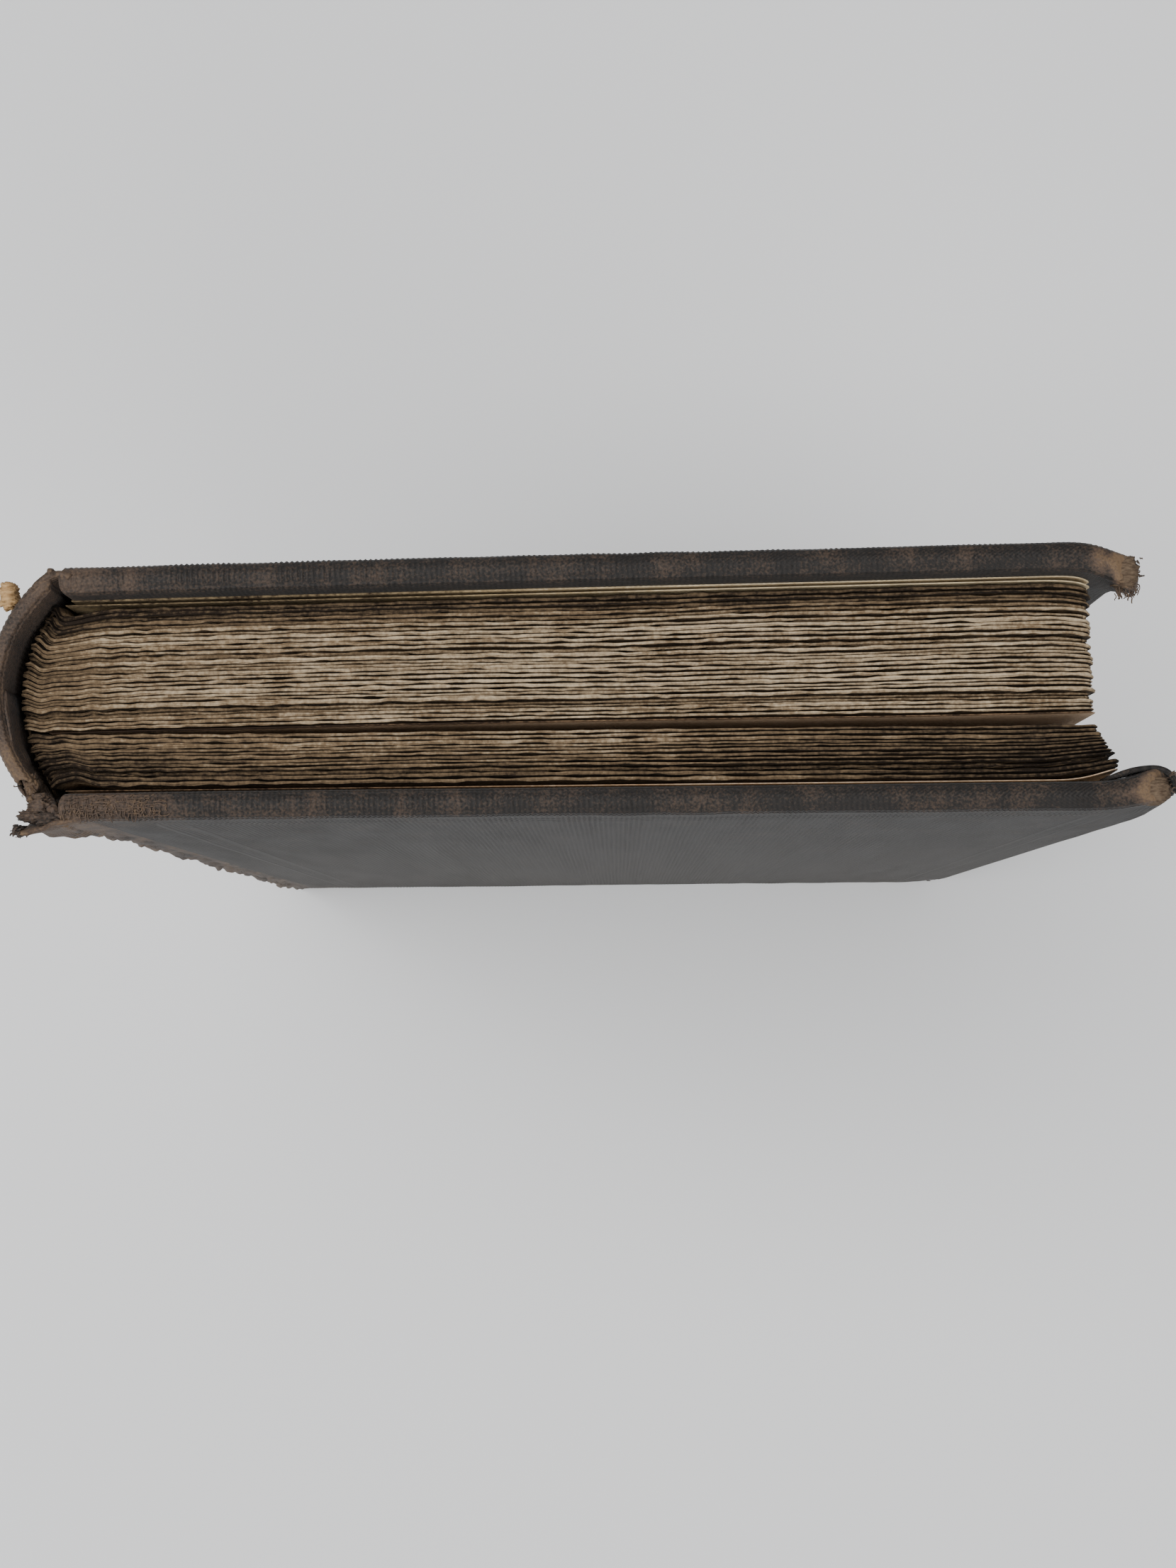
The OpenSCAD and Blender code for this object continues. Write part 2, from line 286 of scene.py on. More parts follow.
def ribbed_cloth(name, worn):
    """Ribbed book cloth, dyed nearly black over brown cotton: a soft sheen, threads that show
    brown where the dye is rubbed, board dust in the worst places, and painted light: the
    cloth is painted paler and greyer towards the tail, for the light thrown up by the floor."""
    mat, tree, shader, mm = start_material(name, 0.66, sheen=0.055, specular=0.25)
    wear, ridge = (add(tree, "Attribute", out="Fac", attribute_name=mark) for mark in ("wear", "ridge"))
    rubbed = speckle(tree, mm, wear, (0.22, 2.0, 0.2, 0.22), (3.0, 4.0, 0.15, 0.12))
    # Painted light: from 120 mm down to the tail the colour is mixed with a paler grey, up to 0.35, for the light
    # that the floor throws up.
    height = add(tree, "SeparateXYZ", {0: mm}, out="Z")
    colour = stain(tree, "#0e0c0b", ("#221e1b", ridge, 0.0, 1.0, 1.0), ("#47392e", rubbed, 0.1, 0.6, 1.0),
                   (worn, rubbed, 0.6, 1.0, 1.0), ("#57544f", height, 120.0, 0.0, 0.35))
    # The cross threads lie about 0.35 mm apart.
    cross = add(tree, "TexWave", {"Vector": mm, "Scale": 0.9, "Distortion": 1.5, "Detail": 2.0,
                                  "Detail Scale": 2.0}, out="Fac", bands_direction="Z")
    nap = add(tree, "TexNoise", {"Vector": mm, "Scale": 1 / 0.3, "Detail": 3.0})
    weave = add(tree, "Math", {0: cross, 1: nap}, operation="ADD")
    finish_material(tree, shader, colour, weave, 0.07)
    return mat


def plain_board(name, colour, edge):
    """Grey-brown pulp board: matt and fibrous, with streaks along its layers."""
    mat, tree, shader, mm = start_material(name, 0.95, specular=0.2)
    layers = add(tree, "VectorMath", {0: mm, 1: (1, 3, 1)}, operation="MULTIPLY")
    fibre = add(tree, "TexNoise", {"Vector": layers, "Scale": 1 / 0.5, "Detail": 4.0})
    finish_material(tree, shader, stain(tree, colour, (edge, fibre, 0.3, 0.7, 1.0)), fibre, 0.08)
    return mat


WAVE_BANDS = 3.18  # bands that the wave texture draws in one unit at a scale of 1


def woven(name, warp_colour, weft_colour, spacing):
    """A plain weave: two crossed sets of threads, one over the other; spacing in mm."""
    mat, tree, shader, mm = start_material(name, 0.9, sheen=0.1, specular=0.2)
    wave = {"Vector": mm, "Scale": 1 / spacing / WAVE_BANDS, "Distortion": 0.6, "Detail": 1.0}
    warp, weft = (add(tree, "TexWave", wave, out="Fac", bands_direction=axis) for axis in ("X", "Z"))
    over = add(tree, "Math", {0: warp, 1: weft}, operation="MULTIPLY")
    colour = stain(tree, weft_colour, (warp_colour, over, 0.0, 1.0, 1.0))
    finish_material(tree, shader, colour, over, 0.1)
    return mat


LEAF_PAPER = rag_paper("rag_paper_leaves", "#a9987e", "#685640", "#1c130a")
INNER_PAPER = rag_paper("rag_paper_inner_page", "#cbb195", "#97795b", "#2c1f14")
END_PAPER = rag_paper("cream_endpaper", "#cdbb98", "#9c8866", "#31251a")
CLOTH = ribbed_cloth("ribbed_book_cloth", "#5f4c38")
BOARD = plain_board("pulp_board", "#635444", "#3b2f25")
CARD = plain_board("spine_card", "#6d583e", "#4a3927")
CHIP = plain_board("torn_card", "#b3936a", "#8a6b47")
MULL = woven("starched_mull", "#5f4c36", "#261b11", 0.6)
# Brown paper, made very dark as painted shade for the hollow behind the spine.
LINING_WITH_PAINTED_SHADE = rag_paper("brown_lining_paper", "#3d3022", "#2f2418", "#1c140c")
TAPE = woven("linen_tape", "#d3c6a4", "#a3946f", 0.4)
THREAD = woven("linen_thread", "#d9ceb0", "#a39672", 0.2)

# ---------------------------------------------------------------- leaves

HEAD_STEPS, SIDE_STEPS, TAIL_STEPS = 270, 96, 120  # points along a leaf's edges
RINGS = (0.35, 1.6, 5.0, 15.0)  # distances of the rings on a leaf's faces from its edge
LEAF_SPAN, LEAF_TALL = LEAF_HI[0] - FOLD_X, LEAF_HI[2] - LEAF_LO[2]


def fold_at(y):
    """X of the arc of the folds at some Y."""
    return FOLD_X + ROUND_R - np.sqrt(ROUND_R ** 2 - np.clip(y - MID_Y, -BLOCK_HALF, BLOCK_HALF) ** 2)


def leaf_outline(radius):
    """Points round a leaf from the spine-head corner, clockwise: a rectangle whose fore-edge
    corners are pushed in to arcs. Also the outward normals, and the point of the leaf's middle
    line that each point shrinks to."""
    steps = (HEAD_STEPS, SIDE_STEPS, TAIL_STEPS, SIDE_STEPS)
    level, down, back, up = (np.linspace(0, 1, n, endpoint=False) for n in steps)
    a = np.concatenate([level, np.ones(SIDE_STEPS), 1 - back, np.zeros(SIDE_STEPS)]) * LEAF_SPAN
    h = np.concatenate([np.ones(HEAD_STEPS), 1 - down, np.zeros(TAIL_STEPS), up]) * LEAF_TALL
    na, nh = np.repeat([0.0, 1, 0, -1], steps), np.repeat([1.0, 0, -1, 0], steps)
    da = a - (LEAF_SPAN - radius)
    for centre, sign in ((radius, -1), (LEAF_TALL - radius, 1)):
        dh = (h - centre) * sign
        inside = (da > 0) & (dh > 0)
        pull = np.where(inside, np.maximum(da, dh) / np.maximum(np.hypot(da, dh), 1e-9), 1.0)
        a = np.where(inside, LEAF_SPAN - radius + da * pull, a)
        h = np.where(inside, centre + dh * pull * sign, h)
    half = LEAF_SPAN / 2
    return a, h, na, nh, np.full_like(a, half), np.clip(h, half, LEAF_TALL - half)


def tips(x, z, x1):
    """How near a point is to the head and to the tail fore corner: 0 to 1 for each."""
    out = smooth(x, x1 - 8, x1) ** 2.2
    return out * smooth(z, HEAD - 13, HEAD), out * smooth(z, 13, 0)


def bend(x, z, x1, droops):
    """How far a cover's inner face is pushed towards the leaves by its bent, swollen corners."""
    head, tail = tips(x, z, x1)
    return (droops[0] + 0.5) * head + (droops[1] + 0.2) * tail


BACK_DROOPS, FRONT_DROOPS = (1.5, 0.4), (0.75, 0.3)  # of the covers' head and tail fore corners
BACK_X, FRONT_X = CLOTH_HI[0], CLOTH_HI[0] + LEAN


def shoulder(a, h):
    """How far the outer leaves spread over the shoulders, most at the head and the tail, and
    how far they are pinched in beside the boards."""
    ends = 0.12 + 0.33 * smooth(np.abs(h - LEAF_TALL / 2), LEAF_TALL / 2 - 9, LEAF_TALL / 2 - 2)
    return ends * np.exp(-(a / 0.7) ** 2) - 0.62 * np.exp(-((a - 1.9) / 1.4) ** 2)


def packet(sections, y_low, y_high, place, body, tone, seed, lean, shade):
    """The sections of one half of the book. Every section is two clumps of leaves. At each
    place the clumps and the cracks between them have smooth random widths, which are then
    stretched to fill the room from y_low to y_high, so neighbours wave together and never meet.
    tone gives a clump's dirt, lean is how much further the first section reaches at the
    fore-edge, and shade is the painted shade that all of them gain towards it."""
    count = 2 * len(sections)
    a0, h0, na, nh, ca, ch = leaf_outline(1.3)
    share = (np.array((0,) + RINGS + (LEAF_SPAN / 2,)) / (LEAF_SPAN / 2))[:, None]
    a, h = a0 + (ca - a0) * share, h0 + (ch - h0) * share
    rng = np.random.default_rng(seed)
    bulk, loose = rng.uniform(0.7, 1.3, count), rng.uniform(0.16, 0.6, count)
    thick = np.stack([bulk[k] * (1 + 0.16 * drift(a, h, 17, 35, seed + k)) for k in range(count)])
    crack = np.stack([loose[k] + 0.30 * drift(a, h, 15, 40, seed + 50 + k) for k in range(count)])
    crack = crack * (0.10 + 0.28 * smooth(a, 3, 10) + 0.62 * smooth(a, 15, 60))
    crack = np.maximum(0.03 + 0.06 * smooth(a, 2, 6), crack)
    scale = (y_high(a, h) - y_low(a, h)) / (thick + crack).sum(0)
    top = y_low(a, h) + np.cumsum((thick + crack) * scale, 0) - crack * scale / 2
    bottom = top - thick * scale
    ripple = 0.13 * np.exp(-a / 5) * np.sin(a * 2.9 + 1.5 * drift(a, h, 3, 30, seed))
    sunk = rng.uniform(-0.13, 0.13, count) - 0.42 * (rng.random(count) < 0.2)
    for n, node in enumerate(sections):
        fold_y = (bottom[2 * n] + top[2 * n + 1]) / 2
        # A clump that sits more than 0.2 mm sunk gets painted shade added to its tone, more the deeper it sits.
        shells = [clump(a, h, na, nh, bottom[m] + ripple, top[m] + ripple, fold_y + ripple,
                        seed * 31 + m, tone(m) + rng.uniform(-0.1, 0.1) - 0.9 * min(0, sunk[m] + 0.2),
                        place, lean * (1 - n / len(sections)), sunk[m], shade)
                  for m in (2 * n, 2 * n + 1)]
        piece(node + "_leaves", shells, body, LEAF_PAPER, [node])


def clump(a, h, na, nh, y_bottom, y_top, fold_y, seed, tone, place, lean, rise, shade):
    """Leaves that cling together: two faces, built of rings that shrink from the outline to the
    leaf's middle line, joined round the outline by an edge. Across its thickness the edge is
    a half round with two grooves that come and go, and it is ragged and wavy along its length.
    Towards the spine the faces close round the fold, which swells out at its two ends. rise is
    how far the edge stands out of the block."""
    close = 0.6 + 0.4 * np.sqrt(np.clip(1 - (1 - np.clip(a / 0.4, 0, 1)) ** 2, 0, 1))
    along = np.arange(a.shape[1]) * LEAF_SPAN / HEAD_STEPS
    free = smooth(a[0], 0.3, 3)
    waves = [drift(along, along, length, 9, seed * 3 + k)
             for k, length in enumerate((1.3, 1.7, 0.8, 2.6, 5.0, 3.3, 1.0, 2.2))]
    y_bottom, y_top = (fold_y + (y - fold_y) * close for y in (y_bottom, y_top))
    thick = y_top[0] - y_bottom[0]
    skew = [thick * (0.20 * waves[broad] + 0.13 * waves[narrow]) * free
            for broad, narrow in ((0, 2), (1, 6))]
    out = rise + 0.07 * waves[2] + 0.07 * waves[3] + 0.05 * waves[4]
    split = [0.06 + 0.10 * smooth(waves[5], -0.5, 0.6), 0.03 + 0.12 * smooth(waves[7], -0.1, 0.8)]
    spine = 0.20 * (1 - smooth(a[0], 0.2, 8)) + 0.14 * (1 - smooth(a[0], 6, 40))
    # Dust along the edge, with painted shade added: through tone for sunk clumps, and through shade towards the
    # fore-edge.
    dust_and_shade = 0.10 + 0.6 * tone + spine + 0.10 * waves[4] + 0.07 * waves[2] + shade * smooth(a[0], 45, 85)
    x, y, z, soil = [], [], [], []

    def ring(k, across, outward_by, dirt, waved):
        """A line of points round the clump, k rings in and at a share of its thickness. dirt is its
        dust and painted shade, and waved is the share of the edge's waves that it follows."""
        ends = smooth(np.abs(h[k] - LEAF_TALL / 2), LEAF_TALL / 2 - 0.9, LEAF_TALL / 2)
        fold = fold_at(fold_y[k]) - 0.75 * np.exp(-a[k] / 2.5) * ends
        x.append(fold + a[k] * (1 + (lean + FOLD_X - fold) / LEAF_SPAN) + na * outward_by * free)
        z.append(LEAF_LO[2] + h[k] + nh * outward_by)
        level = y_bottom[k] + (y_top[k] - y_bottom[k]) * across
        y.append(level + waved * (skew[0] * (1 - across) + skew[1] * across))
        soil.append(dirt + 0 * along)

    # Dirt on the rings of a face, and the share of the waves that they follow, from the edge in. On the first
    # rings this is partly dust at the margin and partly painted shade on the walls of the cracks.
    inner = ((0.8, 1.0), (0.42, 0.4), (0.12, 0.0), (0.04, 0.0), (0.02, 0.0))
    for k in range(len(RINGS) + 1, 0, -1):
        ring(k, 0.0, 0.0, *inner[k - 1])
    for across in (0.0, 0.05, 0.16, 0.27, 0.36, 0.45, 0.56, 0.65, 0.74, 0.86, 0.95, 1.0):
        groove = split[0] * np.exp(-((across - 0.36) / 0.07) ** 2) \
            + split[1] * np.exp(-((across - 0.65) / 0.07) ** 2)
        crown = 0.16 * (math.sqrt(max(0.0, 1 - (2 * across - 1) ** 2)) - 1)
        # Painted shade: the edge darkens towards its two sides, which face the cracks between clumps, and in its
        # grooves.
        painted_crack_shade = 0.8 * abs(2 * across - 1) ** 4 + 2.6 * groove
        ring(0, across, out + crown - groove, dust_and_shade + painted_crack_shade, 1.0)
    for k in range(1, len(RINGS) + 2):
        ring(k, 1.0, 0.0, *inner[k - 1])
    x, y, z, soil = (np.stack(v) for v in (x, y, z, soil))
    return solid(x, y, z, grid_faces(*x.shape, wrap_cols=True), place, soil=soil)


gap_back = box_mm(BACK_SECTIONS[0])[0][1]
gap_front = 2 * OPEN[1] - gap_back
block_back, block_front = MID_Y + BLOCK_HALF, MID_Y - BLOCK_HALF


def bent(a, h, x1, droops):
    """The bend of a cover's corners where a leaf lies under them."""
    return 0.85 * bend(FOLD_X + a + x1 - BACK_X, LEAF_LO[2] + h, x1, droops)


def back_facing(a, h):
    """Y of the back half's face in the opening, which sinks towards the fore-edge."""
    return gap_back - 0.45 * smooth(a, 25, LEAF_SPAN)


def back_outer(a, h):
    """Y of the back half's outer face, which is fullest short of the fore-edge."""
    return block_back - 0.05 + shoulder(a, h) + 0.15 * smooth(a, 30, 80) \
        - 0.2 * smooth(a, LEAF_SPAN - 5, LEAF_SPAN) - bent(a, h, BACK_X, BACK_DROOPS)


def front_outer(a, h):
    """Y of the front half's outer face before it is swung; it is pressed in at the head's fore
    corner."""
    return block_front + 0.05 - shoulder(a, h) - 0.1 * smooth(a, 30, 80) \
        + 0.7 * smooth(a, LEAF_SPAN - 7, LEAF_SPAN) * smooth(h, LEAF_TALL - 25, LEAF_TALL) \
        + bent(a, h, FRONT_X, FRONT_DROOPS)


def front_facing(a, h):
    """Y of the front half's face in the opening before it is swung."""
    return gap_front + 0.1 * (1 - smooth(a, 8, 20))


def back_dirt(m):
    """Dirt on the back half's clumps: most on the last ones, by the cover."""
    return 0.05 + 0.9 * smooth(m, 22.5, 25.5) + 0.1 * smooth(12 - m, 0, 12)


def front_dirt(m):
    """Dirt on the front half's clumps: most on the first ones, by the cover."""
    return 0.62 - 0.28 * smooth(m, 1, 11)


packet(BACK_SECTIONS, back_facing, back_outer, closed, "back_block", back_dirt, 11, 0.0, 0.0)
packet(FRONT_SECTIONS, front_outer, front_facing, swung, "front_block", front_dirt, 5, LEAN, 0.3)

# ---------------------------------------------------------------- thin sheets and threads


def cloth_sheet(x, y, z, thick, place=closed, **marks):
    """A closed sheet round a middle surface given as grids of x, y and z: every point is moved
    along the surface's normal, half the thickness to each side and less at the rim."""
    p = np.stack(np.broadcast_arrays(x, y, z), -1).astype(float)
    across = np.cross(np.gradient(p, axis=1), np.gradient(p, axis=0))
    across /= np.linalg.norm(across, axis=-1, keepdims=True) + 1e-12
    rows, cols = p.shape[:2]
    row, col = np.arange(rows)[:, None], np.arange(cols)[None, :]
    depth = np.minimum(np.minimum(row, rows - 1 - row), np.minimum(col, cols - 1 - col))
    half = np.asarray(thick) / 2 * np.choose(np.minimum(depth, 2), (0.45, 0.85, 1.0))
    front, back = p + across * half[..., None], p - across * half[..., None]
    top = grid_faces(rows, cols)
    index = np.arange(rows * cols).reshape(rows, cols)
    rim = border(index)
    after, n = np.roll(rim, -1), rows * cols
    faces = np.concatenate([top, top[:, ::-1] + n, np.stack([rim + n, after + n, after, rim], 1)])
    both = np.concatenate([front.reshape(-1, 3), back.reshape(-1, 3)])
    marks = {k: np.tile(np.broadcast_to(v, (rows, cols)).ravel(), 2) for k, v in marks.items()}
    return solid(both[:, 0], both[:, 1], both[:, 2], faces, place, **marks)


def page_grid(x0, x1, z0, z1, radius):
    """x and z over a page or cover whose fore-edge corners are rounded; finer near the edges."""
    u = np.sin(np.linspace(0, 1, 46) * math.pi / 2)
    v = (1 - np.cos(np.linspace(0, 1, 61) * math.pi)) / 2
    z, x = np.meshgrid(z0 + (z1 - z0) * v, x0 + (x1 - x0) * u, indexing="ij")
    end = np.clip(np.minimum(z - z0, z1 - z), 0, radius)
    pushed = radius - np.sqrt(radius ** 2 - (radius - end) ** 2)
    return x0 + (x - x0) * (x1 - x0 - pushed) / (x1 - x0), z


def thread(start, direction, length, curl, seed, radius=0.07, sag=0.4):
    """A frayed thread: a thin closed tube along a curve that starts in one direction, wanders
    sideways more and more and sags. The ends close to points. Measures in mm."""
    rng = np.random.default_rng(seed)
    t = np.linspace(0, 1, 16)[:, None]
    heading = np.array(direction, float) / np.linalg.norm(direction)
    side = np.cross(heading, rng.normal(size=3))
    side /= np.linalg.norm(side)
    other = np.cross(heading, side)
    phase, turns = rng.uniform(0, 6.28, 2), rng.uniform(0.5, 1.6, 2)
    wander = [np.sin(6.28 * turns[k] * t + phase[k]) for k in (0, 1)]
    path = np.array(start) + heading * length * t + curl * t * (side * wander[0] + other * wander[1]) \
        + np.array([0, 0, -1]) * sag * t ** 2
    along = np.gradient(path, axis=0)
    first = np.cross(along, side)
    first /= np.linalg.norm(first, axis=1, keepdims=True)
    second = np.cross(along, first)
    second /= np.linalg.norm(second, axis=1, keepdims=True)
    angle = np.arange(5) * 2 * math.pi / 5
    size = radius * np.clip(np.sin(math.pi * t) * 4, 0, 1)
    ring = path[:, None] + size[:, None] * (first[:, None] * np.cos(angle)[None, :, None]
                                            + second[:, None] * np.sin(angle)[None, :, None])
    return ring


def threads(paths, place, **marks):
    """The closed shells of several threads; marks are the same for all."""
    shells = []
    for ring in paths:
        x, y, z = ring[..., 0], ring[..., 1], ring[..., 2]
        shells.append(solid(x, y, z, grid_faces(*x.shape, wrap_cols=True), place, **marks))
    return shells


def endpapers(side, place, x1, droops, curl):
    """A cover's pastedown and flyleaf. Both follow the bend of the cover's corners and are level
    elsewhere; the flyleaf's fore end also curls away from the cover, most at the head. Near the
    head they are a little dirty, and painted shade darkens them there more towards the spine."""
    more = x1 - BACK_X
    for part, low, high, body, lift in (("pastedown", PASTE_LO, PASTE_HI, "case", 0.0),
                                        ("flyleaf", FLY_LO, FLY_HI, "fly", curl)):
        x, z = page_grid(low[0], high[0] + more, low[2], high[2], 1.5)
        y = (low[1] + high[1]) / 2 - (1.0 if part == "pastedown" else 0.9) * bend(x, z, x1, droops) \
            - lift * smooth(x, x1 - 10, x1 - 3.7) ** 2 * (0.3 + 0.7 * smooth(z, HEAD - 30, HEAD))
        # Light dirt a few mm below the head, and painted shade there that grows towards the spine.
        soil = 0.06 + smooth(z, HEAD - 7, HEAD - 3) * (0.12 + 0.7 * smooth(x, 15, -25))
        sheet = cloth_sheet(x, y, z, high[1] - low[1], place, soil=soil)
        piece(f"{side}_{part}_paper", [sheet], f"{side}_{body}",
              END_PAPER if lift < 0.5 else INNER_PAPER, [f"{side}_{part}"])


endpapers("back", closed, BACK_X, BACK_DROOPS, 0.15)
endpapers("front", mirrored, FRONT_X, FRONT_DROOPS, 0.75)

# The leaf in the opening lies on the back half of the block and lifts to the fold at its spine end.
x, z = page_grid(LEAF_LO[0] + 0.4, LEAF_HI[0], LEAF_LO[2], LEAF_HI[2], 1.3)
lie = back_facing(x - FOLD_X, z) - 0.12 - 0.03 * (1 + drift(x, z, 19, 31, 8))
lie = np.where(x - FOLD_X < 12, OPEN[1] + (lie - OPEN[1]) * smooth(x - FOLD_X, 1, 12), lie)
# Dust along the head, and painted shade that grows towards the spine, deep in the opening.
soil = 0.05 + smooth(z, LEAF_HI[2] - 1.2, LEAF_HI[2] - 0.2) * 0.8 + 0.25 * smooth(x, 10, -30)
piece("turning_leaf_page", [cloth_sheet(x, lie, z, 0.09, closed, soil=soil)],
      "middle_leaf", INNER_PAPER, ["turning_leaf"])

# ---------------------------------------------------------------- covers

RIB = 0.44  # spacing of the ribs of the cloth
EDGE_R = 0.8  # rounding of a cover's edges
CORNER_R = 2.6


def cover(name, x1, place, body, droops, worn_spine, seed, nodes):
    """A board in ribbed cloth. Over one grid of x and z the outer and the inner face are two
    heights that meet half-way round the rounded edge. The heights add: the edge's rounding,
    ribs as a wave along x, two fillets pressed in as a frame, dents, and at the fore corners
    a swelling and a droop. Wear grows at the edges, the corners and the head of the joint."""
    x0 = CLOTH_LO[0]
    rim = EDGE_R * (1 - np.cos(np.linspace(0, math.pi / 2, 8)))
    columns = np.concatenate([x0 + rim[:-1], np.arange(x0 + EDGE_R, x1 - EDGE_R, RIB / 4),
                              x1 - rim[::-1]])
    steps = (1.2, 1.7, 2.3, 3, 3.6, 4.1, 4.6, 5.2, 5.8, 6.6, 8, 10, 13, 17, 22, 28, 36, 46, 57)
    inward = np.concatenate([rim, steps])
    rows = np.concatenate([inward, HEAD - inward[::-1]])
    z, x = np.meshgrid(rows, columns, indexing="ij")
    end = np.minimum(z, HEAD - z)
    pushed = CORNER_R - np.sqrt(CORNER_R ** 2 - (CORNER_R - np.minimum(end, CORNER_R)) ** 2)
    x = x0 + (x - x0) * (x1 - x0 - pushed) / (x1 - x0)
    fore = x1 - pushed - x
    inset = np.minimum(np.minimum(fore, x - x0), end)
    near = np.clip(inset / EDGE_R, 0, 1)
    bulge = (1 - (1 - near) ** 2.4) ** (1 / 2.4)
    corner = tips(x, z, x1)
    half = (CLOTH_HI[1] - CLOTH_LO[1]) / 2
    middle = CLOTH_LO[1] + half - droops[0] * corner[0] - droops[1] * corner[1] \
        + 0.10 * drift(x, z, 40, 60, seed) * smooth(x, x0, x0 + 10)
    ribs = np.cos(2 * np.pi * (x + 0.05 * drift(x, z, 5, 9, seed) - x0) / RIB)
    frames = sum(np.exp(-((np.minimum(np.minimum(fore, end), x - x0 - add_side) - line) / 0.3) ** 2)
                 for line, add_side in ((4.3, 3.1), (5.9, 3.5)))
    worn = 0.34 * smooth(drift(x, z, 0.9, 14, seed + 2), 0.0, 0.9)
    rise = (0.045 + 0.03 * drift(x, z, 1.7, 6, seed + 3)) * ribs * (1 - 0.8 * np.clip(frames, 0, 1)) \
        * (1 - 0.5 * (corner[0] + corner[1]))
    lumpy = 0.05 * drift(x, z, 3.1, 7, seed + 4) \
        + 0.12 * drift(x, z, 1.2, 2.1, seed + 5) * (corner[0] + corner[1])
    swell = 0.5 * corner[0] + 0.2 * corner[1]
    outer = middle + (half + swell * 0.3) * bulge + (rise + lumpy) * bulge + 0.09 * frames - 0.05
    inner = middle - (half + swell) * bulge - 0.2 * rise * bulge
    at_ends = np.sign(z - HEAD / 2) * (end < fore) * (end < x - x0)
    faces_z = z + (0.5 * rise + lumpy * 0.6) * (1 - near) * at_ends
    fray = np.exp(-(np.hypot(fore, end) / (1.7 + 0.8 * drift(x, z, 0.9, 1.3, seed + 8))) ** 2)
    wear = 0.85 * fray + 0.24 * np.exp(-(inset / 0.9) ** 2) * (0.5 + worn) \
        + worn_spine * np.exp(-((x - x0) / 9) ** 2) * np.exp(-(end / 9) ** 2) + 0.10 * worn
    marks = {"wear": np.clip(wear, 0, 1), "ridge": 0.5 + 0.5 * ribs}
    top = grid_faces(*x.shape)
    index, n = np.arange(x.size).reshape(x.shape), x.size
    rim = border(index)
    keep = np.arange(n) + n
    keep[rim] = rim
    faces = np.concatenate([top, keep[top][:, ::-1]])
    y_rim = np.where(np.isin(np.arange(n), rim), middle.ravel(), outer.ravel())
    shell = solid(np.tile(x.ravel(), 2), np.concatenate([y_rim, inner.ravel()]),
                  np.tile(faces_z.ravel(), 2), faces, place,
                  **{k: np.tile(v.ravel(), 2) for k, v in marks.items()})
    piece(name, [shell], body, CLOTH, nodes)


cover("back_cover_cloth", BACK_X, closed, "back_case", BACK_DROOPS, 0.26, 1, ["back_cloth"])
cover("front_cover_cloth", FRONT_X, mirrored, "front_case", FRONT_DROOPS, 0.40, 2, ["front_cloth"])

for side, place, x1, droops in (("back", closed, BACK_X, BACK_DROOPS),
                                ("front", mirrored, FRONT_X, FRONT_DROOPS)):
    x, z = page_grid(BOARD_LO[0] + 0.2, x1 - 0.9, BOARD_LO[2] + 0.5, BOARD_HI[2] - 0.5, 2.6)
    head, tail = tips(x, z, x1)
    y = (BOARD_LO[1] + BOARD_HI[1]) / 2 - droops[0] * head - droops[1] * tail - 0.12
    piece(side + "_board_pulp", [cloth_sheet(x, y, z, 1.35, place)], side + "_case",
          BOARD, [side + "_board"])

# ---------------------------------------------------------------- spine cloth


def spine_shell():
    """The spine cloth: a sheet whose rows run from the end of the tail turn-in, round the tail,
    up the outside, round the head and down the head turn-in; its columns follow the arc of
    the spine from the back joint to the ragged front edge."""
    depth_in = CLOTH_T * 1.5 + 0.55
    roll = depth_in / 2
    turn_end = 10.0
    turned, upright = 7, 60  # rows of a turn-in and of the outside
    inside_z = np.linspace(turn_end, roll, turned)
    lip = np.linspace(0, math.pi, 9)[1:-1]
    outside = np.linspace(roll, HEAD - roll, upright)
    z_path = np.concatenate([inside_z, roll - roll * np.sin(lip), outside,
                             HEAD - roll + roll * np.sin(lip), HEAD - inside_z[::-1]])
    d_path = np.concatenate([np.ones(turned), (1 + np.cos(lip)) / 2, np.zeros(upright),
                             (1 - np.cos(lip)) / 2, np.ones(turned)])
    y_back, y_front = HINGE[1], MID_Y - SPINE_HALF + 2.2
    u = np.linspace(0, 1, 150)
    z, u = np.meshgrid(z_path, u, indexing="ij")
    d = np.meshgrid(d_path, u[0], indexing="ij")[0]
    front_edge = y_front + 0.7 * (1 + drift(z, z, 6, 9, 3)) + 0.3 * (1 + drift(z, z, 1.3, 9, 5))
    y = y_back + (front_edge - y_back) * u
    flat = smooth(MID_Y - y, 7.0, 8.0)
    depth = CLOTH_T / 2 + d * (depth_in - 0.75 * flat + 0.25 * smooth(y - MID_Y, 4, 8)) * 0.9
    r = SPINE_R - depth
    x = SPINE_CX - np.sqrt(np.maximum(r ** 2 - np.minimum(np.abs(y - MID_Y), r - 0.3) ** 2, 0.01))
    ribs = np.cos(2 * np.pi * (y - y_back) / RIB)
    x = x + 0.10 * drift(y, z, 5, 12, 21) * (1 - 0.5 * d) * smooth(y_back - y, 0, 2)
    x = np.minimum(x, HINGE[0] - 0.35 * d)
    head = smooth(z, HEAD - 9, HEAD)
    wear = 0.22 + 0.28 * head + 0.3 * smooth(u, 0.86, 1) + 0.16 * drift(y, z, 3, 8, 2) \
        + 0.1 * drift(y, z, 0.9, 1.5, 4)
    return cloth_sheet(x, y, z, CLOTH_T * (1 + 0.18 * ribs), closed,
                       wear=np.clip(wear, 0, 1), ridge=0.5 + 0.5 * ribs)


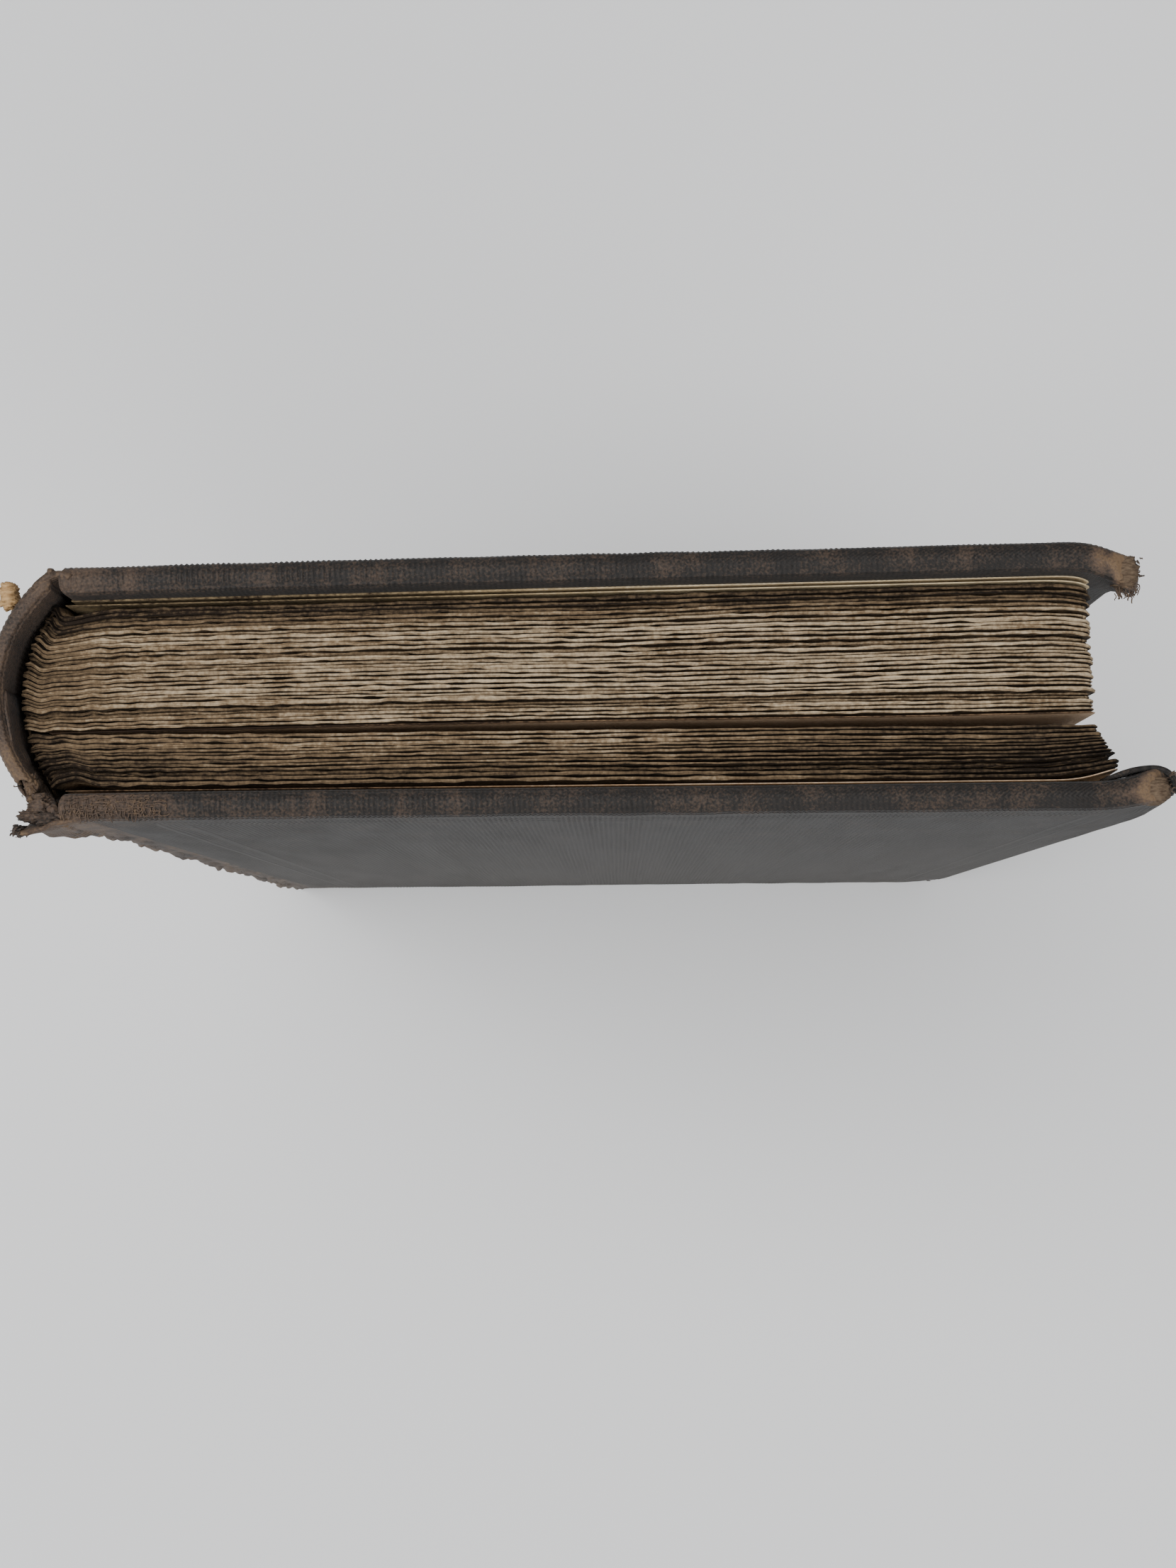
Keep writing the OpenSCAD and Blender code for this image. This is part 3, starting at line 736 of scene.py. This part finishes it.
piece("spine_cover_cloth", [spine_shell()], "spine_case", CLOTH, ["spine_cloth"])

# ---------------------------------------------------------------- torn and frayed places


def bezier(points, t):
    """The Bezier curve of some control points at t, from 0 to 1: X and Y."""
    n = len(points) - 1
    weights = [math.comb(n, k) * t ** k * (1 - t) ** (n - k) for k in range(n + 1)]
    return [sum(w * p[axis] for w, p in zip(weights, points)) for axis in (0, 1)]


def torn_strip(points, z0, z1, place, seed, rag=0.1, rag_z=0.5, crumple=0.2, thick=0.35, wear=0.5,
               tip=0.3, grow=1.0, short=0.0, cols=34, rows=90):
    """A strip of torn cloth. Its columns follow a Bezier curve across the joint and stop short at
    a ragged end, its rows run from z0 to z1 with ragged ends, and noise that grows towards
    the ragged end, as its distance to the power grow, crumples it along its normal. Wear rises
    by tip at the ragged end. Below the head the strip is shorter by the share short."""
    u, v = np.meshgrid(np.linspace(0, 1, cols), np.linspace(0, 1, rows))
    z = z0 + (z1 - z0) * v
    reach = 1 - rag * (1 + drift(z, z, 2.6, 9, seed) + 0.6 * drift(z, z, 0.8, 9, seed + 1)) / 1.6
    reach = reach * (1 - short * smooth(z, HEAD - 3, HEAD - 11))
    x, y = bezier(points, u * reach)
    z = z - rag_z * (1 + drift(4 * u, u, 0.9, 9, seed + 2)) / 2 * smooth(v, 0.8, 1) \
        + rag_z * (1 + drift(4 * u, u, 0.7, 9, seed + 3)) / 2 * smooth(v, 0.2, 0)
    tx, ty = np.gradient(x, axis=1), np.gradient(y, axis=1)
    size = np.hypot(tx, ty)
    off = crumple * u ** grow * (drift(u * 4, z, 1.1, 2.6, seed + 4)
                                 + 0.5 * drift(u * 4, z, 0.5, 1.1, seed + 5))
    x, y = x - off * ty / size, y + off * tx / size
    dirt = wear + tip * smooth(u, 0.75, 1) + 0.25 * drift(u * 5, z, 1.2, 2.4, seed + 6)
    return cloth_sheet(x, y, z, thick * (1 - 0.3 * smooth(u, 0.85, 1)), place, wear=np.clip(dirt, 0, 1),
                       ridge=0.5 + 0.5 * np.cos(2 * np.pi * u * 9))


def fringe(count, start, spread, direction, fan, lengths, place, seed, radius=0.055, curl=0.25, wear=0.6):
    """Threads that start round a point, within spread of it, and point along a direction with a
    random fan; lengths gives the shortest and the longest."""
    rng = np.random.default_rng(seed)
    paths = [thread(np.array(start) + rng.uniform(-1, 1, 3) * spread,
                    np.array(direction, float) + rng.normal(size=3) * fan,
                    rng.uniform(*lengths), curl, seed * 97 + k, radius * rng.uniform(0.6, 1.3))
             for k in range(count)]
    return threads(paths, place, wear=wear, ridge=0.6)


def lump(centre, radii, seed, place, rough=0.18, wear=0.9):
    """A lump of board fibre: a ball stretched to three radii, with its surface pushed in and out
    by noise. Rows are latitudes and columns longitudes."""
    lat, lon = np.meshgrid(np.linspace(0, math.pi, 40),
                           np.linspace(0, 2 * math.pi, 72, endpoint=False), indexing="ij")
    ux, uy, uz = np.sin(lat) * np.cos(lon), np.sin(lat) * np.sin(lon), np.cos(lat)
    size = 1 + rough * np.sin(lat) * (drift(uy * 3 + uz, ux * 2, 0.35, 1.1, seed)
                                      + 0.5 * drift(uy * 9, uz * 4, 0.4, 0.9, seed + 1))
    shape = [np.sign(q) * np.abs(q) ** 0.8 * size * r + c
             for q, r, c in zip((ux, uy, uz), radii, centre)]
    return solid(*shape, grid_faces(*lat.shape, wrap_cols=True), place, wear=wear, ridge=0.5)


OUTER, INNER = CLOTH_HI[1], CLOTH_LO[1]


def by_hinge(*steps):
    """Points at those distances from the hinge line along X and from the outer face along Y."""
    return [(HINGE[0] + dx, OUTER + dy) for dx, dy in steps]


# The back joint: turned-in cloth, folded and thick, that bridges the cover and the spine.
joint = torn_strip(by_hinge((1.5, -1.0), (0.8, -0.45), (-0.2, -0.5), (-1.1, -1.15), (-1.6, -2.0)),
                   0.15, HEAD + 0.3, closed, 3, rag=0.03, rag_z=0.4, crumple=0.1, thick=1.2,
                   wear=0.45, tip=0.0)
joint = piece("back_joint_cloth", [joint], None, CLOTH)
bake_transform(joint)

# The front joint: the cloth has torn away from the spine and hangs on the cover, furthest at the
# head, where crumpled strips and wads of it fill the corner.
torn = [torn_strip(by_hinge((3.2, -0.5), (1.6, -0.1), (-0.3, 0.15), (-1.7, 0.75), (-3.3, 0.4)),
                   0.4, HEAD - 0.1, mirrored, 17, rag=0.1, rag_z=0.6, crumple=0.4, thick=0.8,
                   wear=0.55, tip=0.25, short=0.64)]
torn += [torn_strip(by_hinge((1.2, -0.1), (-0.7, -0.3), (-0.6 - dx, -1.9), (-2.0 - dx, -2.0),
                             (-1.9 - dx, -4.4)), HEAD - 15, HEAD - lower, mirrored, seed,
                    rag=0.12, rag_z=1.2, crumple=0.5, thick=size, wear=worn, tip=0.2, grow=0.3)
         for lower, seed, size, worn, dx in ((0.2, 51, 1.1, 0.55, 0.0), (0.7, 52, 0.7, 0.8, 0.7))]
torn += [lump((HINGE[0] - dx, OUTER - dy, HEAD - dz), radii, seed, mirrored, 0.4, worn)
         for dx, dy, dz, radii, seed, worn in ((1.25, 1.35, 1.5, (0.95, 1.0, 1.3), 71, 0.5),
                                               (1.95, 2.9, 1.9, (0.5, 1.1, 1.5), 72, 0.75),
                                               (0.5, 0.45, 1.2, (1.2, 0.55, 1.1), 73, 0.35),
                                               (2.1, 0.6, 1.6, (0.9, 0.5, 1.2), 74, 0.45))]
torn += fringe(110, (HINGE[0] - 2.8, OUTER + 0.45, HEAD - 1.6), (0.35, 0.4, 1.5), (-1.0, 0.35, 0.2),
               0.3, (0.3, 0.8), mirrored, 5, radius=0.07, curl=0.08, wear=0.3)
torn = piece("front_joint_torn_cloth", torn, None, CLOTH)
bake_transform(torn)

# Mull on the block's shoulders, under the cloth of each joint.
for side, place, top, rag in (("back", closed, HEAD - 13, 0.5), ("front", mirrored, HEAD - 3.2, 2.5)):
    mull = piece(side + "_joint_mull", [torn_strip(
        [(HINGE[0] - 1.35, block_back - 1.2), (HINGE[0] - 1.05, block_back + 0.4),
         (HINGE[0] - 0.8, block_back + 1.2), (HINGE[0] - 0.3, OUTER - 1.5)], 13, top, place, 23,
        rag=0.02, rag_z=rag, crumple=0.06, thick=0.2, wear=0.6)], None, MULL)
    near, far = (np.array(place(HINGE[0] + dx, INNER, 0.0)[:2]) / 1000 for dx in (-0.5, 0.5))
    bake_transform(mull)

# Inside the torn end of the spine: the edge of the cloth and its lining, peeled and crumpled.
peeled = [torn_strip([(SPINE_LO[0] + x, MID_Y - y) for x, y in path], HEAD - 17, HEAD + top, closed, seed,
                     rag=0.1, rag_z=1.4, crumple=push, thick=0.42, wear=worn, tip=0.45, grow=0.4)
          for path, top, seed, push, worn in (
              (((1.35, -0.4), (1.45, 2.6), (2.1, 5.2), (2.9, 7.0), (3.4, 8.4)), 0.1, 31, 0.3, 0.42),
              (((1.0, 1.5), (1.2, 4.0), (1.8, 6.0), (2.5, 7.4), (3.2, 8.7)), -0.5, 37, 0.22, 0.2))]
peeled += fringe(26, (SPINE_LO[0] + 3.0, MID_Y - 7.4, HEAD - 2.0), (0.5, 0.9, 1.8), (0.0, -0.3, 0.8),
                 0.4, (0.4, 1.0), closed, 7, curl=0.15, wear=0.5)
piece("spine_peeled_edge", peeled, "spine_case", CLOTH)
chip = lump((SPINE_LO[0] + 1.55, MID_Y + 8.5, HEAD - 1.5), (0.75, 1.2, 1.3), 3, closed, 0.2)
piece("spine_card_chip", [chip], "spine_case", CHIP)

# Worn fore corners: lumps of board that have broken through the cloth, and threads.
corner = lump((BACK_X - 1.4, OUTER - 2.7, HEAD - 1.6), (1.15, 1.45, 1.6), 11, closed, 0.12)
piece("back_corner_fibres", [corner], "back_case", BOARD)
corner = lump((FRONT_X - 1.5, OUTER - 1.8, HEAD - 1.6), (1.3, 1.25, 1.65), 12, mirrored, 0.12)
piece("front_corner_fibres", [corner], "front_case", BOARD)
frayed = fringe(34, (BACK_X - 1.4, OUTER - 4.2, HEAD - 0.9), (1.0, 0.35, 0.8), (0.35, -1.0, 0.1),
                0.35, (0.3, 0.9), closed, 8, curl=0.12)
frayed += fringe(16, (BACK_X - 0.5, OUTER - 2.6, HEAD - 1.0), (0.3, 1.2, 0.8), (1.0, -0.3, 0.3),
                 0.4, (0.2, 0.6), closed, 9, curl=0.1)
frayed += fringe(12, (BACK_X - 1.2, OUTER - 1.6, 1.2), (0.8, 1.0, 0.6), (0.8, -0.2, -0.5),
                 0.5, (0.4, 1.1), closed, 19)
piece("back_corner_threads", frayed, "back_case", CLOTH)
frayed = fringe(24, (FRONT_X - 0.4, OUTER - 2.4, HEAD - 1.0), (0.3, 0.8, 0.8), (1.0, -0.1, 0.1),
                0.4, (0.3, 0.9), mirrored, 10, curl=0.12)
frayed += fringe(12, (FRONT_X - 1.2, OUTER - 1.3, 1.2), (0.8, 0.8, 0.6), (0.8, 0, -0.5),
                 0.5, (0.4, 1.1), mirrored, 20)
piece("front_corner_threads", frayed, "front_case", CLOTH)
turn_in = [(FRONT_X - 5.0, INNER - 0.4), (FRONT_X - 3.0, INNER - 1.15), (FRONT_X - 0.6, INNER - 1.75),
           (FRONT_X + 0.45, INNER - 0.6), (FRONT_X + 0.4, OUTER - 1.2)]
turn_in = torn_strip(turn_in, HEAD - 6.5, HEAD - 0.2, mirrored, 41, rag=0.05, rag_z=0.4,
                     crumple=0.08, thick=0.45, wear=0.0, tip=0.05, rows=40)
piece("front_corner_turn_in", [turn_in], "front_case", CLOTH)


def bare_weave():
    """Threads left bare at the head of the front cover, by the spine: long ones along X and short
    ones across, laid over the rounded edge, wavering and broken at random."""
    rng = np.random.default_rng(61)
    half = (OUTER - INNER) / 2
    paths = []
    for k in range(150):
        lengthwise = k < 70
        x = HINGE[0] + 0.9 + (rng.uniform(0, 7.5) if lengthwise
                              else 0.1 * (k - 70) * rng.uniform(0.9, 1.1))
        across = -0.75 + 1.4 * ((k % 8) / 7 if lengthwise else rng.uniform(0.1, 0.85))
        length = rng.uniform(0.6, 1.9) if lengthwise else rng.uniform(0.3, 1.0)
        lift = EDGE_R * (1 - (1 - abs(across) ** 2.4) ** (1 / 2.4))
        heading = (1, rng.normal() * 0.08, 0.02) if lengthwise else (rng.normal() * 0.12, 1, 0.02)
        start = (x, INNER + half * (1 + across), HEAD + 0.03 - lift)
        paths.append(thread(start, heading, length, 0.09, 700 + k, 0.055, 0.0))
    return threads(paths, mirrored, wear=0.62, ridge=0.8)


piece("front_bare_weave", bare_weave(), "front_case", CLOTH)

# ---------------------------------------------------------------- CAD nodes that keep their shape

FINISH = {"board": BOARD, "inlay": CARD, "mull": MULL, "lining": LINING_WITH_PAINTED_SHADE, "tape": TAPE, "kettle": THREAD,
          "pastedown": END_PAPER, "flyleaf": END_PAPER, "leaf": INNER_PAPER, "cloth": CLOTH}
for node, obj in frame["nodes"].items():
    for word, finish in FINISH.items():
        if word in node:
            obj.data.materials.clear()
            obj.data.materials.append(finish)
            break

# ---------------------------------------------------------------- floor, light and camera


def studio():
    """A pale floor, a broad soft key lamp, a fill lamp and a pale world; the camera that looks down on the head of
    the book is set up by aim_camera.
    """
    mesh = bpy.data.meshes.new("floor")
    mesh.from_pydata([(-3, -3, 0), (3, -3, 0), (3, 3, 0), (-3, 3, 0)], [], [(0, 1, 2, 3)])
    floor = bpy.data.objects.new("floor", mesh)
    bpy.context.collection.objects.link(floor)
    mat = bpy.data.materials.new("white_table")
    mat.use_nodes = True
    mat.node_tree.nodes["Principled BSDF"].inputs["Base Color"].default_value = srgb("#dcdcdc")
    mat.node_tree.nodes["Principled BSDF"].inputs["Roughness"].default_value = 0.7
    mesh.materials.append(mat)
    for name, place, aim, size, power in (("key", (-0.35, 0.02, 1.05), (0, 0, 0.05), 0.8, 14.0),
                                          ("fill", (0.45, -0.8, 0.6), (0, 0, 0.05), 1.0, 5.8)):
        light = bpy.data.lights.new(name, "AREA")
        light.size, light.energy = size, power
        lamp = bpy.data.objects.new(name, light)
        bpy.context.collection.objects.link(lamp)
        lamp.location = place
        lamp.rotation_euler = look(place, aim)
    world = bpy.data.worlds.new("studio")
    bpy.context.scene.world = world
    world.use_nodes = True
    world.node_tree.nodes["Background"].inputs["Color"].default_value = srgb("#eceef2")
    world.node_tree.nodes["Background"].inputs["Strength"].default_value = 0.55


def look(eye, target, roll=0.0):
    """Turn of a lamp or camera at eye that faces target. The frame's +X points right in its
    view and rises by roll degrees."""
    back = np.array(eye, float) - np.array(target, float)
    back /= np.linalg.norm(back)
    turn = math.radians(roll)
    right = np.array([math.cos(turn), -math.sin(turn), 0.0])
    right -= back * right.dot(back)
    right /= np.linalg.norm(right)
    return Matrix(np.stack([right, np.cross(back, right), back], 1).tolist()).to_euler()


def aim_camera(eye, target, roll, lens):
    """A camera at eye that looks at target, both in mm."""
    data = bpy.data.cameras.new("camera")
    data.lens, data.sensor_width, data.clip_start = lens, 36, 0.01
    camera = bpy.data.objects.new("camera", data)
    bpy.context.collection.objects.link(camera)
    camera.location = np.array(eye) * 0.001
    camera.rotation_euler = look(eye, target, roll)
    bpy.context.scene.camera = camera


studio()
aim_camera((2.74, -23.9, 321), (0.72, -7.98, 138), 1.45, 51.3)
